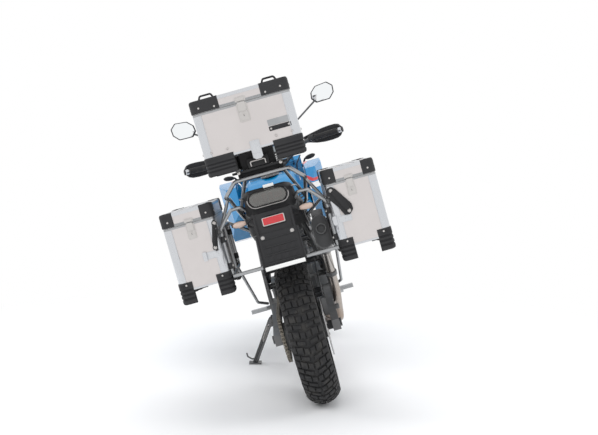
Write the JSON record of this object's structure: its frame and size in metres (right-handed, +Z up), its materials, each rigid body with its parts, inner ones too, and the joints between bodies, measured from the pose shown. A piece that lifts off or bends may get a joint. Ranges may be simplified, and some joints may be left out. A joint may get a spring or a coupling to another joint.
{
  "type": "adventure motorcycle",
  "caption": "Adventure touring motorcycle on its side stand, with aluminium top box and side cases, hand guards, turning wheels and steering, and opening lids.",
  "frame": {"origin": "on the ground, below the middle of the parked motorcycle's overall box", "axes": "+Y forward along the motorcycle, +Z up, +X to its right; the motorcycle leans 15.5 degrees towards -X on its side stand"},
  "size_m": [1.0698, 2.2044, 1.4893],
  "materials": {
    "dark_steel": "satin black paint",
    "engine_casting": "cast, dark coated",
    "exhaust_steel": "heat tinted",
    "silencer_black": "matt",
    "blue_bodywork": "gloss with white and red stripes",
    "black_plastic": "grained",
    "clear_lens": "clear",
    "screen": "smoked",
    "seat_cover": "textured vinyl",
    "tail_lens": "smoked red",
    "amber_lens": "amber",
    "bare_aluminium": "satin",
    "rack_steel": "satin",
    "spring_steel": "painted spring",
    "chain_steel": "oiled",
    "disc_steel": "machined",
    "wheel_alloy": "black coated",
    "tyre_rubber": "worn",
    "mirror_case": "satin"
  },
  "bodies": {
    "chassis": {"frame": "dark_steel", "engine": "engine_casting", "radiator": "dark_steel", "skid_plate": "bare_aluminium", "exhaust_header": "exhaust_steel", "silencer": "silencer_black", "fuel_tank": "blue_bodywork", "side_fairings": "blue_bodywork", "front_fairing": "blue_bodywork", "headlight": "clear_lens", "windscreen": "screen", "instruments": "black_plastic", "seat": "seat_cover", "tail_cover": "black_plastic", "tail_light": "tail_lens", "indicators": "amber_lens", "rear_mudguard": "black_plastic", "plate_holder": "black_plastic", "swingarm": "dark_steel", "stand_bosses": "dark_steel", "shock_absorber": "spring_steel", "drive_chain": "chain_steel", "rear_brake": "dark_steel", "foot_controls": "rack_steel", "luggage_rack": "rack_steel", "rack_plate": "black_plastic", "top_box": "bare_aluminium", "pannier_left": "bare_aluminium", "pannier_right": "bare_aluminium"},
    "steering": {"fork": "rack_steel", "triple_clamps": "engine_casting", "front_mudguard": "blue_bodywork", "front_brake": "dark_steel", "handlebar": "dark_steel", "hand_controls": "black_plastic", "hand_guards": "black_plastic", "mirrors": "mirror_case"},
    "front_wheel_set": {"front_wheel": "wheel_alloy", "front_tyre": "tyre_rubber", "front_discs": "disc_steel"},
    "rear_wheel_set": {"rear_wheel": "wheel_alloy", "rear_tyre": "tyre_rubber", "rear_disc": "disc_steel", "rear_sprocket": "chain_steel"},
    "side_stand": {"side_stand": "dark_steel"},
    "top_box_lid": {"top_box_lid": "bare_aluminium"},
    "pannier_lid_left": {"pannier_lid_left": "bare_aluminium"},
    "pannier_lid_right": {"pannier_lid_right": "bare_aluminium"}
  },
  "joints": [
    {"name": "steering_turn", "type": "hinge", "parent": "chassis", "child": "steering", "pos_m": [0.06775, 0.48447, 0.7795], "axis": [-0.2402, -0.4384, 0.8661], "range_deg": [-35, 35]},
    {"name": "front_wheel_spin", "type": "hinge", "parent": "steering", "child": "front_wheel_set", "pos_m": [0.1954, 0.774, 0.31922], "axis": [-0.9636, 0, -0.2672], "continuous": true},
    {"name": "rear_wheel_spin", "type": "hinge", "parent": "chassis", "child": "rear_wheel_set", "pos_m": [0.19728, -0.746, 0.31245], "axis": [-0.9636, 0, -0.2672], "continuous": true},
    {"name": "side_stand_fold", "type": "hinge", "parent": "chassis", "child": "side_stand", "pos_m": [0.0271, -0.146, 0.25255], "axis": [-0.9459, 0, 0.3246], "range_deg": [0, 95]},
    {"name": "top_box_lid_open", "type": "hinge", "parent": "chassis", "child": "top_box_lid", "pos_m": [-0.07177, -0.667, 1.28259], "axis": [-0.9636, 0, -0.2672], "range_deg": [0, 80]},
    {"name": "pannier_lid_left_open", "type": "hinge", "parent": "chassis", "child": "pannier_lid_left", "pos_m": [-0.28972, -0.547, 0.80186], "axis": [-0.9636, 0, -0.2672], "range_deg": [0, 80]},
    {"name": "pannier_lid_right_open", "type": "hinge", "parent": "chassis", "child": "pannier_lid_right", "pos_m": [0.36265, -0.547, 0.98278], "axis": [-0.9636, 0, -0.2672], "range_deg": [0, 80]}
  ]
}
